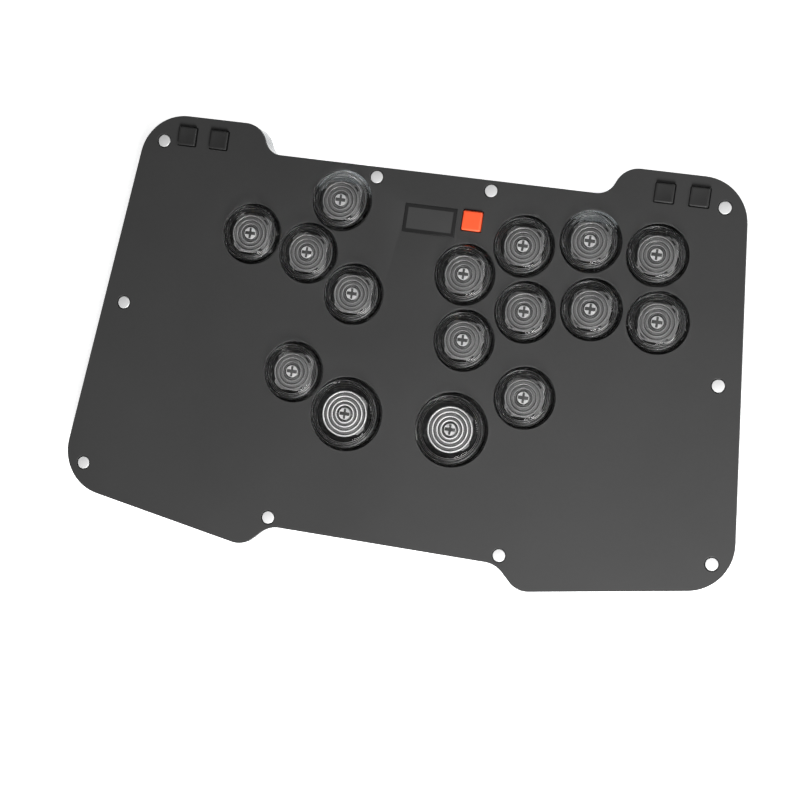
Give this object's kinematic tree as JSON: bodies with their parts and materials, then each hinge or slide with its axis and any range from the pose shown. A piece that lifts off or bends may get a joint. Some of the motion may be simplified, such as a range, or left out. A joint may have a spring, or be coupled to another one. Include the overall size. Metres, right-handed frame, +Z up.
{
  "type": "all-button arcade controller panel",
  "caption": "Flat arcade controller panel: dark metal plate on a clear frame, round clear push buttons on key switches, square function keys and a small display.",
  "frame": {"origin": "on the table, under the middle of the panel's outline", "axes": "+X to the player's right, +Y away from the player, +Z up out of the plate"},
  "size_m": [0.273, 0.1675, 0.0166],
  "materials": {
    "plate": "matt dark grey powder coat, very fine grain",
    "clear_acrylic": "clear acrylic with polished faces and faintly milky cut edges",
    "cap_clear": "clear, slightly smoked polycarbonate, glossy",
    "switch_black": "moulded nylon switch housing, satin",
    "key_black": "black ABS key, satin",
    "key_orange": "bright orange ABS key, satin",
    "standoff_steel": "bright turned metal",
    "socket_steel": "stamped steel shell",
    "window_smoke": "smoked acrylic window with a printed black border",
    "display_glass": "dark display glass",
    "board": "black solder mask on fibreglass",
    "chip": "moulded epoxy package",
    "rubber": "soft black rubber, matt"
  },
  "bodies": {
    "panel": {"top_plate": "plate", "body_frame": "clear_acrylic", "bottom_plate": "clear_acrylic", "main_pcb": "board", "processor_chip": "chip", "usb_c_socket": "socket_steel", "display_module": "display_glass", "display_window": "window_smoke", "switch_housing_01": "switch_black", "switch_housing_02": "switch_black", "switch_housing_03": "switch_black", "switch_housing_04": "switch_black", "switch_housing_05": "switch_black", "switch_housing_06": "switch_black", "switch_housing_07": "switch_black", "switch_housing_08": "switch_black", "switch_housing_09": "switch_black", "switch_housing_10": "switch_black", "switch_housing_11": "switch_black", "switch_housing_12": "switch_black", "switch_housing_13": "switch_black", "switch_housing_14": "switch_black", "switch_housing_15": "switch_black", "switch_housing_16": "switch_black", "standoff_01": "standoff_steel", "standoff_02": "standoff_steel", "standoff_03": "standoff_steel", "standoff_04": "standoff_steel", "standoff_05": "standoff_steel", "standoff_06": "standoff_steel", "standoff_07": "standoff_steel", "standoff_08": "standoff_steel", "standoff_09": "standoff_steel", "standoff_10": "standoff_steel", "foot_01": "rubber", "foot_02": "rubber", "foot_03": "rubber", "foot_04": "rubber"},
    "button_01": {"button_cap_01": "cap_clear"},
    "button_02": {"button_cap_02": "cap_clear"},
    "button_03": {"button_cap_03": "cap_clear"},
    "button_04": {"button_cap_04": "cap_clear"},
    "button_05": {"button_cap_05": "cap_clear"},
    "button_06": {"button_cap_06": "cap_clear"},
    "button_07": {"button_cap_07": "cap_clear"},
    "button_08": {"button_cap_08": "cap_clear"},
    "button_09": {"button_cap_09": "cap_clear"},
    "button_10": {"button_cap_10": "cap_clear"},
    "button_11": {"button_cap_11": "cap_clear"},
    "button_12": {"button_cap_12": "cap_clear"},
    "button_13": {"button_cap_13": "cap_clear"},
    "button_14": {"button_cap_14": "cap_clear"},
    "button_15": {"button_cap_15": "cap_clear"},
    "button_16": {"button_cap_16": "cap_clear"},
    "key_01": {"function_key_01": "key_black"},
    "key_02": {"function_key_02": "key_black"},
    "key_03": {"function_key_03": "key_black"},
    "key_04": {"function_key_04": "key_black"},
    "menu": {"menu_key": "key_orange"}
  },
  "joints": [
    {"name": "button_press_01", "type": "slide", "parent": "panel", "child": "button_01", "axis": [0, 0, -1], "range_m": [0, 0.003], "stiffness_N_per_m": 100, "springref_m": -0.002},
    {"name": "button_press_02", "type": "slide", "parent": "panel", "child": "button_02", "axis": [0, 0, -1], "range_m": [0, 0.003], "stiffness_N_per_m": 100, "springref_m": -0.002},
    {"name": "button_press_03", "type": "slide", "parent": "panel", "child": "button_03", "axis": [0, 0, -1], "range_m": [0, 0.003], "stiffness_N_per_m": 100, "springref_m": -0.002},
    {"name": "button_press_04", "type": "slide", "parent": "panel", "child": "button_04", "axis": [0, 0, -1], "range_m": [0, 0.003], "stiffness_N_per_m": 100, "springref_m": -0.002},
    {"name": "button_press_05", "type": "slide", "parent": "panel", "child": "button_05", "axis": [0, 0, -1], "range_m": [0, 0.003], "stiffness_N_per_m": 100, "springref_m": -0.002},
    {"name": "button_press_06", "type": "slide", "parent": "panel", "child": "button_06", "axis": [0, 0, -1], "range_m": [0, 0.003], "stiffness_N_per_m": 100, "springref_m": -0.002},
    {"name": "button_press_07", "type": "slide", "parent": "panel", "child": "button_07", "axis": [0, 0, -1], "range_m": [0, 0.003], "stiffness_N_per_m": 100, "springref_m": -0.002},
    {"name": "button_press_08", "type": "slide", "parent": "panel", "child": "button_08", "axis": [0, 0, -1], "range_m": [0, 0.003], "stiffness_N_per_m": 100, "springref_m": -0.002},
    {"name": "button_press_09", "type": "slide", "parent": "panel", "child": "button_09", "axis": [0, 0, -1], "range_m": [0, 0.003], "stiffness_N_per_m": 100, "springref_m": -0.002},
    {"name": "button_press_10", "type": "slide", "parent": "panel", "child": "button_10", "axis": [0, 0, -1], "range_m": [0, 0.003], "stiffness_N_per_m": 100, "springref_m": -0.002},
    {"name": "button_press_11", "type": "slide", "parent": "panel", "child": "button_11", "axis": [0, 0, -1], "range_m": [0, 0.003], "stiffness_N_per_m": 100, "springref_m": -0.002},
    {"name": "button_press_12", "type": "slide", "parent": "panel", "child": "button_12", "axis": [0, 0, -1], "range_m": [0, 0.003], "stiffness_N_per_m": 100, "springref_m": -0.002},
    {"name": "button_press_13", "type": "slide", "parent": "panel", "child": "button_13", "axis": [0, 0, -1], "range_m": [0, 0.003], "stiffness_N_per_m": 100, "springref_m": -0.002},
    {"name": "button_press_14", "type": "slide", "parent": "panel", "child": "button_14", "axis": [0, 0, -1], "range_m": [0, 0.003], "stiffness_N_per_m": 100, "springref_m": -0.002},
    {"name": "button_press_15", "type": "slide", "parent": "panel", "child": "button_15", "axis": [0, 0, -1], "range_m": [0, 0.003], "stiffness_N_per_m": 100, "springref_m": -0.002},
    {"name": "button_press_16", "type": "slide", "parent": "panel", "child": "button_16", "axis": [0, 0, -1], "range_m": [0, 0.003], "stiffness_N_per_m": 100, "springref_m": -0.002},
    {"name": "key_press_01", "type": "slide", "parent": "panel", "child": "key_01", "axis": [0, 0, -1], "range_m": [0, 0.0003], "stiffness_N_per_m": 500, "springref_m": -0.001},
    {"name": "key_press_02", "type": "slide", "parent": "panel", "child": "key_02", "axis": [0, 0, -1], "range_m": [0, 0.0003], "stiffness_N_per_m": 500, "springref_m": -0.001},
    {"name": "key_press_03", "type": "slide", "parent": "panel", "child": "key_03", "axis": [0, 0, -1], "range_m": [0, 0.0003], "stiffness_N_per_m": 500, "springref_m": -0.001},
    {"name": "key_press_04", "type": "slide", "parent": "panel", "child": "key_04", "axis": [0, 0, -1], "range_m": [0, 0.0003], "stiffness_N_per_m": 500, "springref_m": -0.001},
    {"name": "menu_press", "type": "slide", "parent": "panel", "child": "menu", "axis": [0, 0, -1], "range_m": [0, 0.0003], "stiffness_N_per_m": 500, "springref_m": -0.001}
  ]
}
